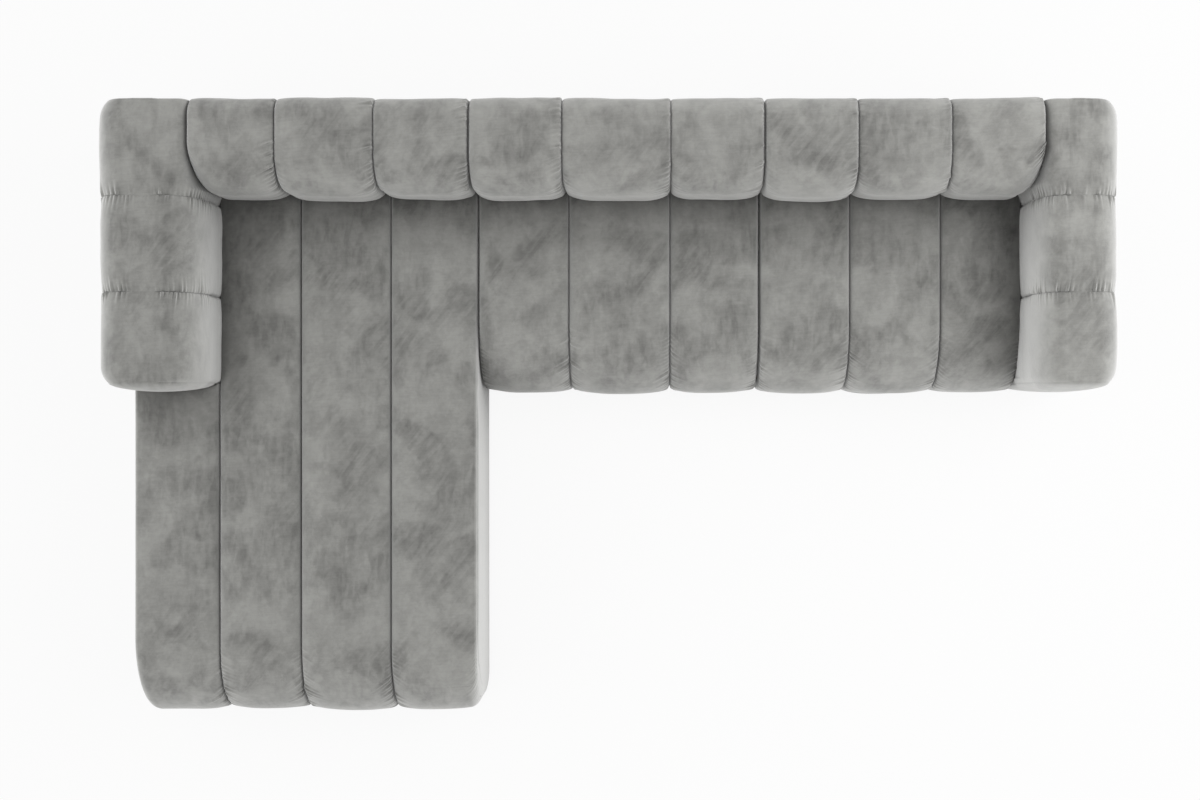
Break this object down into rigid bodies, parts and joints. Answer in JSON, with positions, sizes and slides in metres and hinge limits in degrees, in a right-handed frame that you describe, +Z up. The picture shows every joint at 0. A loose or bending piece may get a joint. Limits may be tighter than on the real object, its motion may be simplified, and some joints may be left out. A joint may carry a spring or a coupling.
{
  "type": "corner sofa",
  "caption": "Channel-tufted velvet corner sofa of hooked-together modules, with a chaise at one end and arms as high as the back.",
  "frame": {"origin": "on the floor, under the centre of the sofa's bounding box", "axes": "+X along the back, from the chaise's end to the other arm; +Y towards the rear; +Z up"},
  "size_m": [3.296, 2.066, 0.72],
  "materials": {
    "velvet": "brushed mid-grey velvet",
    "timber": "planed softwood and plywood, bare",
    "spring_steel": "drawn wire",
    "zinc_plate": "zinc plated",
    "felt": "needled felt",
    "dust_cloth": "thin black non-woven cloth",
    "foot_plastic": "matte black"
  },
  "bodies": {
    "root": {"chaise_left_side_rail": "timber", "chaise_right_side_rail": "timber", "chaise_front_rail": "timber", "chaise_mid_rail": "timber", "chaise_spring_rail": "timber", "chaise_arm_bearer": "timber", "chaise_front_foot_board": "timber", "chaise_rear_foot_board": "timber", "chaise_back_panel": "timber", "chaise_arm_frame": "timber", "chaise_spring_unit": "spring_steel", "chaise_front_spring_unit": "spring_steel", "chaise_spring_cover": "felt", "chaise_dust_cover": "dust_cloth", "chaise_seat_pad": "velvet", "chaise_back_pad": "velvet", "chaise_arm_pad": "velvet", "chaise_front_left_foot": "foot_plastic", "chaise_front_right_foot": "foot_plastic", "chaise_rear_left_foot": "foot_plastic", "chaise_rear_right_foot": "foot_plastic", "middle_left_side_rail": "timber", "middle_right_side_rail": "timber", "middle_front_rail": "timber", "middle_spring_rail": "timber", "middle_front_foot_board": "timber", "middle_rear_foot_board": "timber", "middle_back_panel": "timber", "middle_spring_unit": "spring_steel", "middle_spring_cover": "felt", "middle_dust_cover": "dust_cloth", "middle_seat_pad": "velvet", "middle_back_pad": "velvet", "middle_front_left_foot": "foot_plastic", "middle_front_right_foot": "foot_plastic", "middle_rear_left_foot": "foot_plastic", "middle_rear_right_foot": "foot_plastic", "end_left_side_rail": "timber", "end_right_side_rail": "timber", "end_front_rail": "timber", "end_spring_rail": "timber", "end_arm_bearer": "timber", "end_front_foot_board": "timber", "end_rear_foot_board": "timber", "end_back_panel": "timber", "end_arm_frame": "timber", "end_spring_unit": "spring_steel", "end_spring_cover": "felt", "end_dust_cover": "dust_cloth", "end_seat_pad": "velvet", "end_back_pad": "velvet", "end_arm_pad": "velvet", "end_front_left_foot": "foot_plastic", "end_front_right_foot": "foot_plastic", "end_rear_left_foot": "foot_plastic", "end_rear_right_foot": "foot_plastic", "chaise_to_middle_hook": "zinc_plate", "chaise_to_middle_catch": "zinc_plate", "middle_to_end_hook": "zinc_plate", "middle_to_end_catch": "zinc_plate"}
  },
  "joints": []
}
